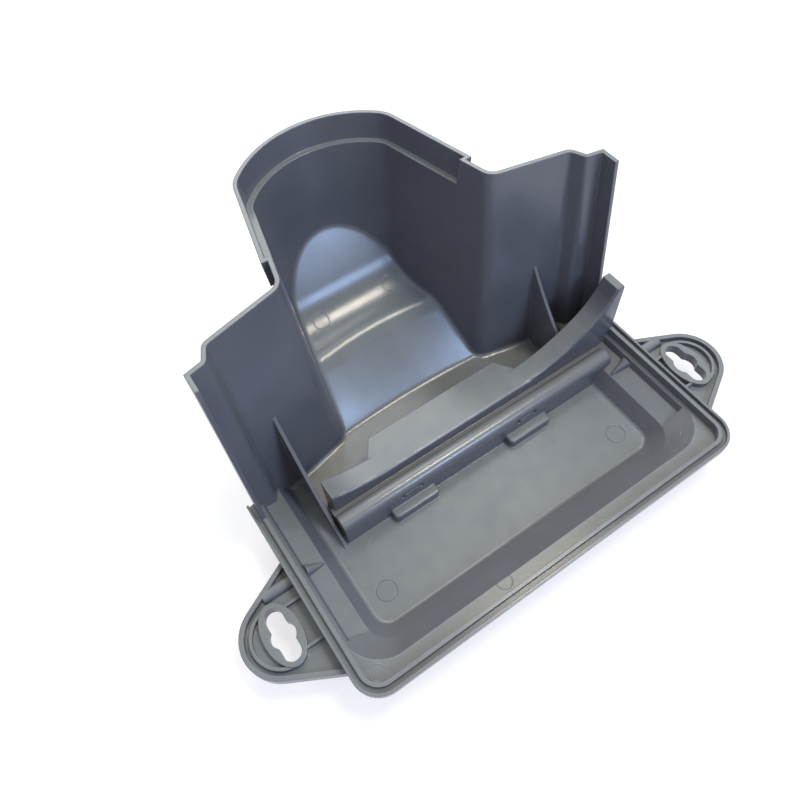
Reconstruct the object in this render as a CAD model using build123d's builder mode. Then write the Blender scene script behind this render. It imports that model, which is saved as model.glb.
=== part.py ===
from build123d import *
from math import radians, tan
import os

# Air filter cover, one plastic moulding, in millimetres.
# X runs along the tray, Y from its front to the intake hood, Z up.
# The origin lies on the flat underside, midway between the two ear holes.

# Tray wall and rim with its seal groove
wall = 2.2
rim_half_length = 122.4
rim_front = 54.6
rim_height = 28.5
rim_corner = 15.0
outer_lip = 1.4
groove_width = 2.6
groove_depth = 2.6
inner_lip = 2.2

# Tray floor: front ledge, bowl slopes and flat panel, each set in from the one outside it, and side strips
ledge_margin, ledge_front_margin = 0.4, 7.4
ledge_corner = 21.0
ledge_depth = 5.5
bowl_margin, bowl_front_margin = 13.6, 9.5
bowl_corner = 14.0
bowl_height = 12.7
panel_margin, panel_front_margin = 6.8, 9.5
panel_corner = 9.0
foot_radius = 3.0
strip_margin = 3.2
strip_height = 17.5
strip_front = 21.0

# Intake hood: plan lines of its inner face at the top edge, and their draft
hood_height = 137.0
wing_y = 111.6
wing_slope = 0.23
wing_draft = 5.3
jog_margin = 12.2
jog_width = 4.0
jog_depth = 7.5
jog_radius = 3.6
lip_draft = 0.9
lip_foot_length = 11.5
lip_top_length = 9.0
duct_x = 42.2
duct_y = 170.0
duct_slope = 0.235
duct_draft = 4.5
apex_y = 189.0
shoulder_radius = 9.0
duct_corner = 12.0

# Duct floor inside the hood: a ramp, a bowed fold and a scooped back
ramp_foot_y = 91.0
ramp_foot_bow = 2.5
ramp_foot_radius = 5.0
apron_length = 12.0
ramp_top_y, ramp_top_height = 124.0, 25.5
fold_y, fold_height = 131.5, 30.0
fold_bow = 8.0
fold_flat = 2.5
fold_radius = 8.0
scoop_radius = 38.0
scoop_angle = 52.0
floor_shift = 1.2
corner_radius = 3.2

# Hose socket at the top of the duct
socket_depth = 15.0
socket_step = 3.4
socket_wall = 2.2
socket_floor = 1.5
socket_front = 121.0

# Baffle across the tray, hollow from below, rising to a horn at its right end
baffle_front = 43.0
baffle_width = 12.7
baffle_left_margin = 33.7
baffle_root = 1.8
baffle_height = 24.5
baffle_edge = 1.5
rise_start = 45.0
rise_margin, rise_height = 20.2, 41.0
horn_foot_margin, horn_foot_height = 6.2, 58.0
horn_margin, horn_height = 3.0, 65.8
shelf_depth = 11.5
shelf_taper = 7.8

# Roll along the front of the baffle, with a groove behind it
roll_front = 28.5
roll_radius = 5.75
roll_height = 22.3
roll_left_margin = 31.4
roll_right_margin = 9.2
trough_height = 16.5

# Snap pockets at the foot of the roll
pocket_x = 41.0
pocket_length = 30.0
pocket_depth = 6.0
pocket_height = 8.5
pocket_corner = 2.5
pocket_edge = 1.2
window_length = 14.5
window_height = 3.2
window_bottom = 14.6
window_end = 2.4
slit_height = 0.9

# Gusset ribs between the hood and the tray
rib_margin = 28.8
rib_thickness = 2.0
rib_top = 65.5
rib_mid_y, rib_mid_height = 57.4, 29.5
rib_front = 25.0

# Mounting ears
ear_reach = 16.6
ear_radius = 22.0
ear_back, ear_front = 35.0, 36.0
ear_bottom = 15.5
ear_floor = 18.5
ear_top = 22.0
ear_lip = 2.6
collar_width, collar_length = 20.5, 35.0
hole_radius = 7.0
lobe_radius = 4.8
lobe_offset = 9.8
ring_radius = 17.2
ring_width = 1.8
ring_drop = 0.6
ridge_y = 22.5
ridge_radius = 3.6
ridge_inside = 12.0
ridge_taper = 14.0
web_y = 12.0
web_width = 1.6

# Mould marks
mark_depth = 0.25
mark_width = 0.5
panel_mark_margin, panel_mark_y, panel_mark_radius = 12.9, -6.0, 6.0

# Derived places
rim_width = outer_lip + groove_width + inner_lip
tray_half = rim_half_length - rim_width
tray_front = rim_front - rim_width
tray_corner = rim_corner - rim_width
rim_bottom = rim_height - groove_depth - wall
ledge_height = rim_height - ledge_depth
ledge_half = tray_half - ledge_margin
ledge_front = tray_front - ledge_front_margin
bowl_half_length = ledge_half - bowl_margin
bowl_front = ledge_front - bowl_front_margin
panel_half_length = bowl_half_length - panel_margin
panel_front = bowl_front - panel_front_margin
strip_half_length = tray_half - strip_margin
strip_slope = (strip_height - bowl_height) / (strip_half_length - bowl_half_length)
strip_drop = wall * (1 + strip_slope ** 2) ** 0.5
tray_back = wing_y - wing_slope * bowl_half_length
far_back = apex_y + 4 * wall
far_side = tray_half + rim_half_length
jog_x = tray_half - jog_margin
baffle_left = tray_half - baffle_left_margin
baffle_right = tray_half + baffle_root
baffle_back = baffle_front + baffle_width
rise_x = tray_half - rise_margin
horn_foot_x = tray_half - horn_foot_margin
horn_x = tray_half - horn_margin
roll_left = tray_half - roll_left_margin
roll_right = tray_half - roll_right_margin
rib_x = tray_half - rib_margin
ear_x = rim_half_length + ear_reach
ear_root_x = strip_half_length + 1.2 * wall
panel_mark_x = panel_half_length - panel_mark_margin
deep = 4 * wall


def wing_at(x, height):
    """Y of the wing's inner face at a plan X and a height."""
    return wing_y - wing_slope * x - (hood_height - height) * tan(radians(wing_draft))


def nearest(sketch, x, y):
    """The sketch's vertex nearest a plan position."""
    return sketch.vertices().sort_by_distance((x, y, 0))[0]


def tray_plan(height, half, front, radius):
    """Tray outline at a height, with rounded front corners and an open back."""
    with BuildSketch(Plane.XY.offset(height)) as plan:
        with BuildLine():
            Polyline((-half, tray_back), (-half, -front), (half, -front), (half, tray_back), close=True)
        make_face()
        fillet(plan.vertices().group_by(Axis.Y)[0], radius)
    return plan.sketch


def duct_lines(height):
    """Duct corner, its apex and the shoulder where the duct meets the wing, at a height."""
    inset = (hood_height - height) * tan(radians(duct_draft))
    corner_y = duct_y - inset
    corner_x = duct_x - inset + duct_slope * inset
    side = corner_x + duct_slope * corner_y
    wing = wing_at(0, height)
    shoulder_x = (side - duct_slope * wing) / (1 - duct_slope * wing_slope)
    return (corner_x, corner_y), apex_y - inset, (shoulder_x, wing_at(shoulder_x, height))


def hood_plan(height, grow, lip):
    """Plan of the space inside the hood at a height, grown by a wall; with or without side lips."""
    duct, apex, shoulder = duct_lines(height)
    lip_x = tray_half - (height - rim_height) * tan(radians(lip_draft))
    jog_out = (jog_x + jog_width / 2, wing_at(jog_x + jog_width / 2, height) - jog_depth)
    jog_in = (jog_x - jog_width / 2, wing_at(jog_x - jog_width / 2, height))
    edge_x = lip_x if lip else far_side
    edge_back = wing_at(edge_x, height) - jog_depth
    half = [(edge_x, -rim_front), (edge_x, edge_back), jog_out, jog_in, shoulder, duct]
    other = [(-x, y) for x, y in reversed(half)]
    with BuildSketch(Plane.XY.offset(height)) as plan:
        with BuildLine():
            Polyline(*half)
            ThreePointArc(duct, (0, apex), other[0])
            Polyline(*other)
            Line(other[-1], half[0])
        make_face()
        for sign in (1, -1):
            fillet(nearest(plan, sign * shoulder[0], shoulder[1]), shoulder_radius)
            fillet(nearest(plan, sign * duct[0], duct[1]), duct_corner)
            fillet(nearest(plan, sign * jog_out[0], jog_out[1]), jog_radius)
            fillet(nearest(plan, sign * jog_in[0], jog_in[1]), jog_radius)
        if grow > 0:
            offset(amount=grow, kind=Kind.INTERSECTION, mode=Mode.REPLACE)
    return plan.sketch


def duct_plan(height, grow, front):
    """Plan of the duct behind a front line at a height, grown outward."""
    duct, apex = duct_lines(height)[:2]
    front_x = duct[0] + duct_slope * (duct[1] - front)
    with BuildSketch(Plane.XY.offset(height)) as plan:
        with BuildLine():
            Polyline((-duct[0], duct[1]), (-front_x, front), (front_x, front), duct)
            ThreePointArc(duct, (0, apex), (-duct[0], duct[1]))
        make_face()
        fillet(plan.vertices().group_by(Axis.Y)[-1], duct_corner)
        offset(amount=grow, kind=Kind.INTERSECTION, mode=Mode.REPLACE)
    return plan.sketch


def floor_plan(height, front, bow):
    """Plan of the solid under the duct floor at a height, with a bowed front edge."""
    half = tray_half / 2
    with BuildSketch(Plane.XY.offset(height)) as plan:
        with BuildLine():
            ThreePointArc((-half, front - bow), (0, front), (half, front - bow))
            Polyline((half, front - bow), (half, far_back), (-half, far_back), (-half, front - bow))
        make_face()
    return plan.sketch


# Space in front of the hood's outer face, which trims the floors at the back
with BuildPart() as envelope:
    loft([hood_plan(0, wall, False), hood_plan(hood_height, wall, False)], ruled=True)

# Solid under the duct floor
with BuildPart() as floor_block:
    loft([floor_plan(wall, ramp_foot_y, ramp_foot_bow), floor_plan(ramp_top_height, ramp_top_y, fold_bow),
          floor_plan(fold_height, fold_y, fold_bow)], ruled=True)
    with BuildSketch(Plane.XY.offset(wall)) as apron:
        with Locations((0, far_back)):
            Rectangle(tray_half, far_back - ramp_foot_y + ramp_foot_bow + apron_length,
                      align=(Align.CENTER, Align.MAX))
    extrude(amount=-deep)
    ramp_foot = edges().filter_by_position(Axis.Z, wall - 0.1, wall + 0.1)
    fillet(ramp_foot.filter_by_position(Axis.Y, ramp_foot_y - ramp_foot_bow, ramp_foot_y), ramp_foot_radius)
    with BuildSketch(Plane.YZ) as scoop:
        with BuildLine():
            scoop_foot = (fold_y + fold_flat, fold_height)
            bend = JernArc(start=scoop_foot, tangent=(1, 0), radius=scoop_radius, arc_size=scoop_angle)
            scoop_rise = (far_back - (bend @ 1).X) * tan(radians(scoop_angle))
            Polyline(bend @ 1, (far_back, (bend @ 1).Y + scoop_rise), (far_back, 0), (scoop_foot[0], 0),
                     scoop_foot)
        make_face()
    extrude(amount=tray_half / 2, both=True)
    fold = edges().filter_by(GeomType.CIRCLE).filter_by_position(Axis.Y, fold_y - fold_bow, fold_y)
    fillet(fold.filter_by_position(Axis.Z, fold_height - 0.1, fold_height + 0.1), fold_radius)

# Air space in the hood above its floor, with rounded corners where its walls meet the floor
with BuildPart() as air_space:
    loft([hood_plan(wall, 0, True), hood_plan(hood_height, 0, True)], ruled=True)
    add(floor_block.part, mode=Mode.SUBTRACT)
    low = edges().filter_by(lambda edge: edge.bounding_box().max.Z < hood_height - wall)
    low = low.filter_by(lambda edge: edge.bounding_box().min.Y > baffle_front)
    sides = low.filter_by(lambda edge: abs(edge.center().X) > duct_x / 4)
    back = low.filter_by(lambda edge: edge.center().Z > hood_height / 3)
    fillet(sides + back, corner_radius)

# Space inside the bowl, with a rounded foot
with BuildPart() as bowl_space:
    loft([tray_plan(wall, panel_half_length, panel_front, panel_corner),
          tray_plan(bowl_height, bowl_half_length, bowl_front, bowl_corner),
          tray_plan(ledge_height, ledge_half, ledge_front, ledge_corner)], ruled=True)
    foot = edges().group_by(Axis.Z)[0].filter_by_position(Axis.Y, -rim_front, tray_back - wall)
    fillet(foot, foot_radius)

# Tray: bowl, side walls and rim, less the space inside it and the seal groove
with BuildPart() as tray:
    loft([tray_plan(0, panel_half_length + wall / 2, panel_front + wall / 2, panel_corner + wall / 2),
          tray_plan(bowl_height - wall, bowl_half_length + wall / 2, bowl_front + wall / 2,
                    bowl_corner + wall / 2),
          tray_plan(ledge_height - wall, ledge_half + wall / 2, ledge_front + wall / 2,
                    ledge_corner + wall / 2)], ruled=True)
    extrude(tray_plan(ledge_height - wall, tray_half + wall, tray_front + wall, tray_corner + wall),
            amount=ledge_depth + wall)
    extrude(tray_plan(rim_bottom, rim_half_length, rim_front, rim_corner), amount=rim_height - rim_bottom)
    with BuildSketch(Plane.XZ.offset(strip_front + wall)) as strip_outside:
        with BuildLine():
            Polyline((bowl_half_length, bowl_height - strip_drop),
                     (strip_half_length + wall, strip_height - wall),
                     (tray_half + wall, rim_bottom), (bowl_half_length, rim_bottom), close=True)
        make_face()
        mirror(about=Plane.YZ)
    extrude(amount=-(strip_front + wall + tray_back))
    add(bowl_space.part, mode=Mode.SUBTRACT)
    extrude(tray_plan(ledge_height, tray_half, tray_front, tray_corner), amount=ledge_depth,
            mode=Mode.SUBTRACT)
    with BuildSketch(Plane.XZ.offset(strip_front)) as strip_inside:
        with BuildLine():
            run = strip_half_length - panel_half_length
            Polyline((panel_half_length, strip_height - run * strip_slope), (strip_half_length, strip_height),
                     (tray_half, rim_height), (panel_half_length, rim_height), close=True)
        make_face()
        mirror(about=Plane.YZ)
    extrude(amount=-(strip_front + tray_back), mode=Mode.SUBTRACT)
    with BuildSketch(Plane.XY.offset(rim_height)) as groove:
        with BuildLine():
            path_half = rim_half_length - outer_lip - groove_width / 2
            path_front = rim_front - outer_lip - groove_width / 2
            path_corner = rim_corner - outer_lip - groove_width / 2
            path = FilletPolyline((-path_half, tray_back), (-path_half, -path_front),
                                  (path_half, -path_front), (path_half, tray_back), radius=path_corner)
        trace(path, line_width=groove_width)
    extrude(amount=-groove_depth, mode=Mode.SUBTRACT)
    add(envelope.part, mode=Mode.INTERSECT)

# Hood with its floor, its hose socket and its side lips, open to the tray in front
with BuildPart() as hood:
    socket_bottom = hood_height - socket_depth
    socket_outside = socket_step + socket_wall
    loft([hood_plan(0, wall, True), hood_plan(hood_height, wall, True)], ruled=True)
    loft([duct_plan(socket_bottom - socket_floor, socket_outside, socket_front),
          duct_plan(hood_height, socket_outside, socket_front)], ruled=True)
    add(air_space.part, mode=Mode.SUBTRACT)
    loft([duct_plan(socket_bottom, socket_step, socket_front),
          duct_plan(hood_height, socket_step, socket_front)], ruled=True, mode=Mode.SUBTRACT)
    with BuildSketch(Plane.YZ) as lip_side:
        with BuildLine():
            lip_foot = wing_at(tray_half, 0) - jog_depth - lip_foot_length
            lip_top = wing_at(tray_half, hood_height) - jog_depth - lip_top_length
            Polyline((lip_foot, 0), (lip_top, hood_height), (far_back, hood_height), (far_back, 0),
                     close=True)
        make_face()
    extrude(amount=far_side, both=True, mode=Mode.INTERSECT)

# Baffle with a shelf behind its level part, and the hollow below it
with BuildPart() as baffle:
    with BuildSketch(Plane.XZ.offset(-baffle_front)) as baffle_side:
        with BuildLine():
            Line((-rise_start, baffle_height), (rise_start, baffle_height))
            rise = TangentArc((rise_start, baffle_height), (rise_x, rise_height), tangent=(1, 0))
            TangentArc(rise @ 1, (horn_foot_x, horn_foot_height), tangent=rise % 1)
            Polyline((horn_foot_x, horn_foot_height), (horn_x, horn_height), (baffle_right, horn_height),
                     (baffle_right, -deep), (-rise_x, -deep), (-rise_x, rise_height))
            TangentArc((-rise_start, baffle_height), (-rise_x, rise_height), tangent=(-1, 0))
        make_face()
        with Locations((-baffle_left, 0)):
            Rectangle(rise_x, 2 * horn_height, align=(Align.MAX, Align.CENTER), mode=Mode.SUBTRACT)
    extrude(amount=-baffle_width)
    front_edges = edges().group_by(Axis.Y)[0].filter_by(Axis.Z, reverse=True)
    fillet(front_edges.filter_by_position(Axis.Z, 0, 2 * horn_height), baffle_edge)
    with BuildSketch(Plane.XY.offset(baffle_height)) as shelf:
        with BuildLine():
            shelf_root = rise_start + shelf_taper
            Polyline((-shelf_root, baffle_back - wall), (shelf_root, baffle_back - wall),
                     (shelf_root, baffle_back), (rise_start, baffle_back + shelf_depth),
                     (-rise_start, baffle_back + shelf_depth), (-shelf_root, baffle_back), close=True)
        make_face()
    extrude(amount=-wall)

with BuildPart() as baffle_hollow:
    with BuildSketch(Plane.XZ.offset(-baffle_front - wall)) as hollow_side:
        add(baffle_side.sketch_local)
        offset(amount=-wall, kind=Kind.INTERSECTION, mode=Mode.REPLACE)
    extrude(amount=-(baffle_width - 2 * wall))

# Roll in front of the baffle and the hollow below it
with BuildPart() as roll:
    with BuildSketch(Plane.YZ.offset(-roll_left)) as roll_side:
        with BuildLine():
            roll_shoulder = roll_height - roll_radius
            roll_middle = (roll_front + roll_radius, roll_height)
            roll_back = (roll_front + 2 * roll_radius, roll_shoulder)
            ThreePointArc((roll_front, roll_shoulder), roll_middle, roll_back)
            Polyline(roll_back, (roll_back[0], trough_height), (baffle_front + wall, trough_height),
                     (baffle_front + wall, 0), (roll_front, 0), (roll_front, roll_shoulder))
        make_face()
    extrude(amount=roll_left + roll_right)

with BuildPart() as roll_hollow:
    with BuildSketch(Plane.YZ.offset(wall - roll_left)) as roll_hollow_side:
        with BuildLine():
            ThreePointArc((roll_front + wall, roll_shoulder), (roll_middle[0], roll_height - wall),
                          (roll_back[0] - wall, roll_shoulder))
            Polyline((roll_back[0] - wall, roll_shoulder), (roll_back[0] - wall, trough_height - wall),
                     (baffle_front, trough_height - wall), (baffle_front, -deep), (roll_front + wall, -deep),
                     (roll_front + wall, roll_shoulder))
        make_face()
    extrude(amount=roll_left + roll_right - 2 * wall)

# Everything below the underside of the tray
with BuildPart() as below:
    with BuildSketch(Plane.XZ.offset(rim_front)) as below_section:
        with BuildLine():
            slope_foot = (panel_half_length + wall / 2, 0)
            slope_top = (bowl_half_length + wall / 2, bowl_height - wall)
            Polyline(slope_foot, slope_top, (strip_half_length + wall, strip_height - wall),
                     (tray_half + wall, rim_bottom), (far_side, rim_bottom), (far_side, -2 * deep),
                     (0, -2 * deep), (0, 0), close=True)
        make_face()
        mirror(about=Plane.YZ)
    extrude(amount=-(rim_front + ramp_foot_y))

# Tray, hood, baffle and roll in one, with ribs and snap pockets, hollowed from below
with BuildPart() as shell:
    add(tray.part)
    add(hood.part)
    add(baffle.part)
    add(roll.part)
    with BuildSketch(Plane.YZ.offset(-rib_x)) as rib_side:
        with BuildLine():
            rib_root = wing_at(rib_x, rib_top)
            rib_foot = wing_at(rib_x, 0)
            ThreePointArc((rib_front, wall / 2), (rib_mid_y, rib_mid_height), (rib_root, rib_top))
            Polyline((rib_root, rib_top), (rib_root + wall / 2, rib_top), (rib_foot + wall / 2, wall / 2),
                     (rib_front, wall / 2))
        make_face()
    extrude(amount=rib_thickness / 2, both=True)
    with BuildSketch(Plane.YZ.offset(rib_x)) as short_rib_side:
        add(rib_side.sketch_local)
        with Locations((baffle_back - wall / 2, 0)):
            Rectangle(rib_front + baffle_front, 2 * rib_top, align=(Align.MAX, Align.CENTER),
                      mode=Mode.SUBTRACT)
    extrude(amount=rib_thickness / 2, both=True)
    with BuildSketch(Plane.XY.offset(wall / 2)) as pockets:
        with GridLocations(2 * pocket_x, 0, 2, 1):
            with Locations((0, roll_front + wall / 2)):
                Rectangle(pocket_length, pocket_depth + wall / 2, align=(Align.CENTER, Align.MAX))
        fillet(pockets.vertices().group_by(Axis.Y)[0], pocket_corner)
    extrude(amount=pocket_height - wall / 2)
    for sign in (1, -1):
        start = (sign * (strip_half_length + wall / 2), ridge_y, strip_height + wall / 2)
        with BuildSketch(Plane(start, x_dir=(0, 1, 0), z_dir=(-sign, 0, -strip_slope))):
            Circle(ridge_radius)
        extrude(amount=ridge_inside, taper=ridge_taper)
    flat_faces = faces().filter_by(Axis.Z)
    pocket_tops = flat_faces.filter_by_position(Axis.Z, pocket_height - 0.1, pocket_height + 0.1)
    fillet(pocket_tops.edges().filter_by_position(Axis.Y, -rim_front, roll_front - 0.1), pocket_edge)
    add(below.part, mode=Mode.SUBTRACT)
    with Locations((0, floor_shift, -wall)):
        add(floor_block.part, mode=Mode.SUBTRACT)
    add(baffle_hollow.part, mode=Mode.SUBTRACT)
    add(roll_hollow.part, mode=Mode.SUBTRACT)
    with BuildSketch(Plane.XZ.offset(-roll_front)) as windows:
        for x in (-pocket_x, pocket_x):
            with Locations((x, window_bottom)):
                with GridLocations(window_length - window_end, 0, 2, 1):
                    Rectangle(window_end, window_height, align=(Align.CENTER, Align.MIN))
            with Locations((x, window_bottom + window_height)):
                Rectangle(window_length, slit_height, align=(Align.CENTER, Align.MAX))
    extrude(amount=-roll_radius, mode=Mode.SUBTRACT)

# Mounting ear: plate with a raised lip, a collar round the hole, a ring, two webs and a half-round ridge
with BuildPart() as ear:
    with BuildSketch(Plane.XY.offset(ear_bottom)) as ear_root:
        with Locations((ear_root_x, (ear_back - ear_front) / 2)):
            Rectangle(tray_half + wall - ear_root_x, ear_back + ear_front, align=(Align.MIN, Align.CENTER))
    extrude(amount=ledge_height - wall / 2 - ear_bottom)
    with BuildSketch(Plane.XY.offset(ear_bottom)) as ear_plan:
        add(ear_root.sketch_local)
        with Locations((ear_x, 0)):
            Circle(ear_radius)
        make_hull()
    extrude(amount=ear_floor - ear_bottom)
    with BuildSketch(Plane.XY.offset(ear_floor)) as ear_rim:
        add(ear_plan.sketch_local)
        offset(ear_plan.sketch_local, amount=-ear_lip, mode=Mode.SUBTRACT)
    extrude(amount=ear_top - ear_floor)
    with BuildSketch(Plane.XY.offset(ear_floor)) as collar:
        with Locations((ear_x, 0)):
            Ellipse(collar_width / 2, collar_length / 2)
    extrude(amount=ear_top - ear_floor)
    with BuildSketch(Plane.XY.offset(ear_floor)) as ring:
        with Locations((ear_x, 0)):
            Circle(ring_radius)
            Circle(ring_radius - ring_width, mode=Mode.SUBTRACT)
            Rectangle(2 * ear_radius, 2 * ear_radius, align=(Align.MAX, Align.CENTER), mode=Mode.SUBTRACT)
        with Locations((tray_half + wall / 2, 0)):
            with GridLocations(0, 2 * web_y, 1, 2):
                Rectangle(ear_x - tray_half - collar_width / 4, web_width, align=(Align.MIN, Align.CENTER))
    extrude(amount=ear_top - ear_floor - ring_drop)
    with BuildSketch(Plane.YZ.offset(tray_half)) as ridge:
        with BuildLine():
            ThreePointArc((ridge_y - ridge_radius, ear_floor), (ridge_y, ear_floor + ridge_radius),
                          (ridge_y + ridge_radius, ear_floor))
            Line((ridge_y + ridge_radius, ear_floor), (ridge_y - ridge_radius, ear_floor))
        make_face()
    extrude(amount=ear_x - tray_half)
    with BuildSketch(Plane.XY.offset(ear_bottom)) as hole:
        with Locations((ear_x, 0)):
            Circle(hole_radius)
            with GridLocations(0, 2 * lobe_offset, 1, 2):
                Circle(lobe_radius)
            Rectangle(2 * lobe_radius, 2 * lobe_offset)
    extrude(amount=ear_top - ear_bottom, mode=Mode.SUBTRACT)

# The whole moulding
with BuildPart() as air_filter_cover:
    add(shell.part)
    add(ear.part)
    mirror(ear.part, about=Plane.YZ)
    with BuildSketch(Plane.XY.offset(wall)) as marks:
        with GridLocations(2 * panel_mark_x, 0, 2, 1):
            with Locations((0, panel_mark_y)):
                Circle(panel_mark_radius)
                Circle(panel_mark_radius - mark_width, mode=Mode.SUBTRACT)
    extrude(amount=-mark_depth, mode=Mode.SUBTRACT)

os.makedirs("parts", exist_ok=True)
air_filter_cover.part.label = "air_filter_cover"
export_step(air_filter_cover.part, "parts/air_filter_cover.step")
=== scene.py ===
import bpy
from mathutils import Matrix, Vector

# Air filter cover: a look for the CAD moulding, a white floor, soft light and the photo's camera.
# Lengths are in metres, in the part's own frame.

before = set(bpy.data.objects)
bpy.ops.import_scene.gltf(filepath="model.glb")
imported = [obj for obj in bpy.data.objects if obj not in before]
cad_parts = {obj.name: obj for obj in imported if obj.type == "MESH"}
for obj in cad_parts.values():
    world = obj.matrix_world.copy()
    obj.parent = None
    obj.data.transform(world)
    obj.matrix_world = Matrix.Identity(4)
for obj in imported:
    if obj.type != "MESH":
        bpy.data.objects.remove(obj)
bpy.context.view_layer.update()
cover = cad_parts["air_filter_cover"]
scene = bpy.context.scene

# Plastic colours and finish
plastic_dark = (0.118, 0.122, 0.150, 1.0)
plastic_light = (0.142, 0.146, 0.172, 1.0)
edge_colour = (0.230, 0.235, 0.280, 1.0)
# Painted light: the paler colour given to faces that point up
upward_light_colour = (0.285, 0.300, 0.280, 1.0)
# How much paler the colour gets where the rounding turns the surface, at edges and corners
edge_paling = 0.55
upward_light_least = 0.50
upward_light_most = 0.66
roughness_least = 0.18
roughness_most = 0.24
specular_level = 0.55

# Rounding of edges, and the wider rounding inside the duct: behind its front and below the hose socket
edge_rounding = 0.0009
corner_rounding = 0.0035
duct_front = 0.092
socket_height = 0.110

# Sizes of the patterns, as noise scales per metre
mottle_scale = 22.0
upward_light_scale = 95.0
sheen_scale = 70.0
grain_scale = 2600.0

# Relief: strength and depth
ring_strength = 0.45
ring_depth = 0.0003
grain_strength = 0.10
grain_depth = 0.0002

# Floor and world
floor_colour = (0.46, 0.45, 0.48, 1.0)
floor_glow = 0.66
floor_size = 8.0
floor_drop = 0.0003
sky_colour = (0.92, 0.95, 1.0, 1.0)
sky_strength = 0.58

# Mould marks: place on the plan, radius, height and reach up and down
ring_marks = [
    (-0.0257, 0.150, 0.0050, 0.045, 0.030),
    (0.0257, 0.150, 0.0050, 0.045, 0.030),
    (-0.0330, -0.0420, 0.0042, 0.021, 0.006),
    (0.0330, -0.0420, 0.0042, 0.021, 0.006),
    (-0.1100, -0.0420, 0.0042, 0.021, 0.006),
    (0.1070, -0.0335, 0.0042, 0.021, 0.006),
    (-0.0760, 0.0265, 0.0034, 0.003, 0.003),
    (0.0760, 0.0265, 0.0034, 0.003, 0.003),
]
ring_line = 0.00035

# Camera that took the photo: image size, focal length in pixels, place, and its right and down directions
image_size = 800
focal_pixels = 688.93
camera_place = Vector((-0.1220, -0.1109, 0.3697))
camera_right = Vector((0.82660595, -0.56040697, -0.05163944))
camera_down = Vector((-0.49862699, -0.68674177, -0.52892048))
sensor_width = 36.0


def add_node(tree, kind, **inputs):
    """A shader node with some input sockets set, spaces in their names written as underscores."""
    node = tree.nodes.new(kind)
    for name, value in inputs.items():
        node.inputs[name.replace("_", " ")].default_value = value
    return node


def maths(tree, operation, first, second):
    """A Math node; each input is a socket or a number."""
    node = tree.nodes.new("ShaderNodeMath")
    node.operation = operation
    for socket, value in zip(node.inputs, (first, second)):
        if isinstance(value, (int, float)):
            socket.default_value = value
        else:
            tree.links.new(value, socket)
    return node.outputs[0]


def spread(tree, value, low, high, to_low, to_high):
    """A value taken from one range to another and held inside it."""
    node = tree.nodes.new("ShaderNodeMapRange")
    tree.links.new(value, node.inputs["Value"])
    node.inputs["From Min"].default_value = low
    node.inputs["From Max"].default_value = high
    node.inputs["To Min"].default_value = to_low
    node.inputs["To Max"].default_value = to_high
    return node.outputs["Result"]


def noise(tree, place, scale, detail):
    """Noise at a scale per metre."""
    node = add_node(tree, "ShaderNodeTexNoise", Scale=scale, Detail=detail)
    tree.links.new(place, node.inputs["Vector"])
    return node.outputs["Fac"]


def blend_colours(tree, amount, first, second):
    """Two colours mixed by an amount; each is a socket or a colour."""
    node = tree.nodes.new("ShaderNodeMix")
    node.data_type = "RGBA"
    tree.links.new(amount, node.inputs[0])
    for socket, value in zip((node.inputs[6], node.inputs[7]), (first, second)):
        if isinstance(value, tuple):
            socket.default_value = value
        else:
            tree.links.new(value, socket)
    return node.outputs[2]


def ring_mask(tree, place, mark):
    """1 on a thin ring round a plan position, near a height, and 0 elsewhere."""
    x, y, radius, height, reach = mark
    parts = tree.nodes.new("ShaderNodeSeparateXYZ")
    tree.links.new(place, parts.inputs[0])
    across = maths(tree, "SUBTRACT", parts.outputs["X"], x)
    along = maths(tree, "SUBTRACT", parts.outputs["Y"], y)
    squares = maths(tree, "ADD", maths(tree, "POWER", across, 2.0), maths(tree, "POWER", along, 2.0))
    off_centre = maths(tree, "SQRT", squares, 0.0)
    off_ring = maths(tree, "ABSOLUTE", maths(tree, "SUBTRACT", off_centre, radius), 0.0)
    off_height = maths(tree, "ABSOLUTE", maths(tree, "SUBTRACT", parts.outputs["Z"], height), 0.0)
    on_ring = spread(tree, off_ring, 0.0, ring_line, 1.0, 0.0)
    return maths(tree, "MULTIPLY", on_ring, maths(tree, "LESS_THAN", off_height, reach))


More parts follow.
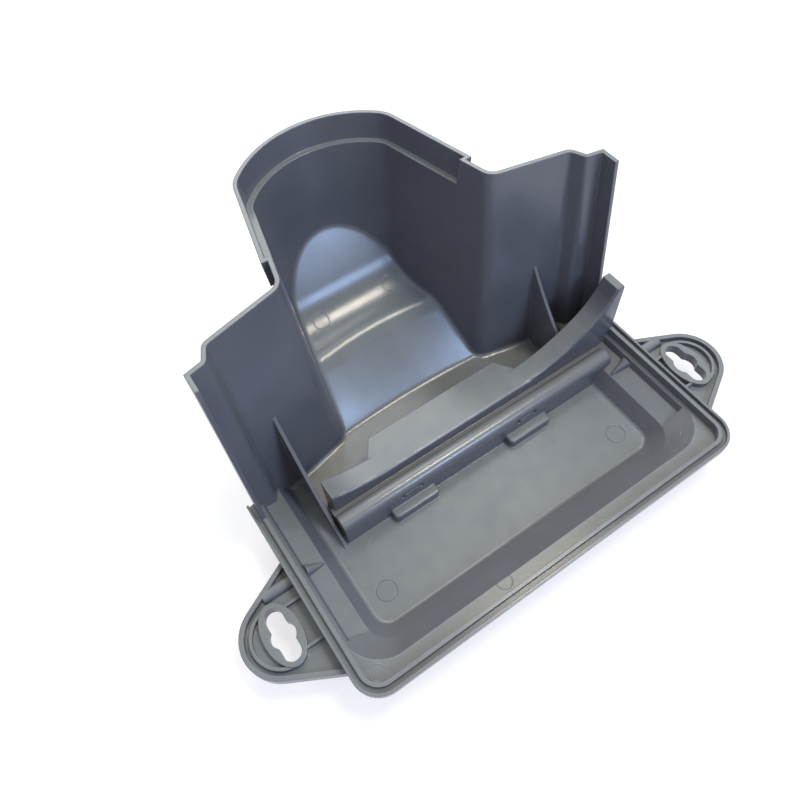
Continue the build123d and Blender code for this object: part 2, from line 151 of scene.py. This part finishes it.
def moulded_plastic():
    """Satin slate plastic with grain, painted light on its upper faces, paler edges and mould rings."""
    material = bpy.data.materials.new("moulded_plastic")
    material.use_nodes = True
    tree = material.node_tree
    surface = tree.nodes["Principled BSDF"]
    place = tree.nodes.new("ShaderNodeTexCoord").outputs["Object"]
    geometry = tree.nodes.new("ShaderNodeNewGeometry")

    # Rounded edges, rounder inside the duct, and how far the rounding turns the surface
    rounding = tree.nodes.new("ShaderNodeBevel")
    rounding.samples = 6
    parts = tree.nodes.new("ShaderNodeSeparateXYZ")
    tree.links.new(place, parts.inputs[0])
    in_duct = maths(tree, "GREATER_THAN", parts.outputs["Y"], duct_front)
    below_socket = maths(tree, "LESS_THAN", parts.outputs["Z"], socket_height)
    soft = maths(tree, "MULTIPLY", in_duct, below_socket)
    tree.links.new(spread(tree, soft, 0.0, 1.0, edge_rounding, corner_rounding), rounding.inputs["Radius"])
    turned = tree.nodes.new("ShaderNodeVectorMath")
    turned.operation = "DOT_PRODUCT"
    tree.links.new(rounding.outputs["Normal"], turned.inputs[0])
    tree.links.new(geometry.outputs["True Normal"], turned.inputs[1])
    # Paler colour where the rounded normal turns away from the true normal, at edges and corners
    edge = spread(tree, turned.outputs["Value"], 0.97, 0.80, 0.0, edge_paling)

    # Colour: slow mottling, painted light in patches where the surface faces up, then paler rounded edges
    mottle = spread(tree, noise(tree, place, mottle_scale, 5.0), 0.35, 0.70, 0.0, 1.0)
    colour = blend_colours(tree, mottle, plastic_dark, plastic_light)
    up = tree.nodes.new("ShaderNodeSeparateXYZ")
    tree.links.new(geometry.outputs["Normal"], up.inputs[0])
    facing_up = spread(tree, up.outputs["Z"], 0.45, 1.0, 0.0, 1.0)
    # Painted light: upward faces made paler, in noisy patches
    upward_light_patches = spread(tree, noise(tree, place, upward_light_scale, 8.0), 0.30, 0.70, upward_light_least, upward_light_most)
    colour = blend_colours(tree, maths(tree, "MULTIPLY", facing_up, upward_light_patches), colour, upward_light_colour)
    colour = blend_colours(tree, edge, colour, edge_colour)
    tree.links.new(colour, surface.inputs["Base Color"])

    # Finish: satin, a little duller in patches
    patches = noise(tree, place, sheen_scale, 4.0)
    sheen = spread(tree, patches, 0.30, 0.70, roughness_least, roughness_most)
    tree.links.new(sheen, surface.inputs["Roughness"])
    surface.inputs["Specular IOR Level"].default_value = specular_level

    # Relief: mould rings, then fine grain, on the rounded edges
    relief = ring_mask(tree, place, ring_marks[0])
    for mark in ring_marks[1:]:
        relief = maths(tree, "MAXIMUM", relief, ring_mask(tree, place, mark))
    ring_bump = add_node(tree, "ShaderNodeBump", Strength=ring_strength, Distance=ring_depth)
    tree.links.new(relief, ring_bump.inputs["Height"])
    tree.links.new(rounding.outputs["Normal"], ring_bump.inputs["Normal"])
    grain_bump = add_node(tree, "ShaderNodeBump", Strength=grain_strength, Distance=grain_depth)
    tree.links.new(noise(tree, place, grain_scale, 2.0), grain_bump.inputs["Height"])
    tree.links.new(ring_bump.outputs["Normal"], grain_bump.inputs["Normal"])
    tree.links.new(grain_bump.outputs["Normal"], surface.inputs["Normal"])
    return material


def pale_floor():
    """White paper under the object: white to the camera, and it still takes the object's shadow."""
    material = bpy.data.materials.new("white_floor")
    material.use_nodes = True
    tree = material.node_tree
    surface = tree.nodes["Principled BSDF"]
    surface.inputs["Base Color"].default_value = floor_colour
    surface.inputs["Roughness"].default_value = 0.9
    ray = tree.nodes.new("ShaderNodeLightPath")
    seen = maths(tree, "MAXIMUM", ray.outputs["Is Camera Ray"], ray.outputs["Is Glossy Ray"])
    seen = maths(tree, "MAXIMUM", seen, ray.outputs["Is Transmission Ray"])
    surface.inputs["Emission Color"].default_value = (1.0, 1.0, 1.0, 1.0)
    tree.links.new(maths(tree, "MULTIPLY", seen, floor_glow), surface.inputs["Emission Strength"])
    return material


def soft_lamp(name, place, target, size, power, colour):
    """A square area lamp aimed at a point."""
    lamp = bpy.data.lights.new(name, "AREA")
    lamp.size = size
    lamp.energy = power
    lamp.color = colour
    holder = bpy.data.objects.new(name, lamp)
    holder.location = place
    holder.rotation_euler = (Vector(target) - Vector(place)).to_track_quat("-Z", "Y").to_euler()
    scene.collection.objects.link(holder)


# Plastic on the moulding
cover.data.materials.clear()
cover.data.materials.append(moulded_plastic())

# Floor
bpy.ops.mesh.primitive_plane_add(size=floor_size, location=(0.0, 0.0, -floor_drop))
floor = bpy.context.object
floor.name = "floor"
floor.data.materials.append(pale_floor())

# World: even light, a little blue
world = bpy.data.worlds.new("studio")
scene.world = world
world.use_nodes = True
sky = world.node_tree.nodes["Background"]
sky.inputs["Color"].default_value = sky_colour
sky.inputs["Strength"].default_value = sky_strength

# Lamps: a soft panel behind the hood, a warm lamp overhead and a blue window in front
middle = (0.0, 0.05, 0.04)
soft_lamp("panel", (0.40, 0.95, 1.10), middle, 1.0, 9.0, (0.94, 0.98, 1.0))
soft_lamp("warm_lamp", (0.34, -0.02, 1.25), middle, 0.26, 5.5, (1.0, 0.93, 0.78))
soft_lamp("window", (0.38, -0.96, 0.88), middle, 0.32, 6.0, (0.42, 0.62, 1.0))

# Camera
camera_data = bpy.data.cameras.new("photo_camera")
camera_data.sensor_width = sensor_width
camera_data.lens = focal_pixels / image_size * sensor_width
camera_data.clip_start = 0.01
camera = bpy.data.objects.new("photo_camera", camera_data)
camera_up = -camera_down
camera_back = camera_right.cross(camera_up)
turn = Matrix((camera_right, camera_up, camera_back)).transposed()
camera.matrix_world = Matrix.Translation(camera_place) @ turn.to_4x4()
scene.collection.objects.link(camera)
scene.camera = camera

scene.view_settings.view_transform = "Standard"
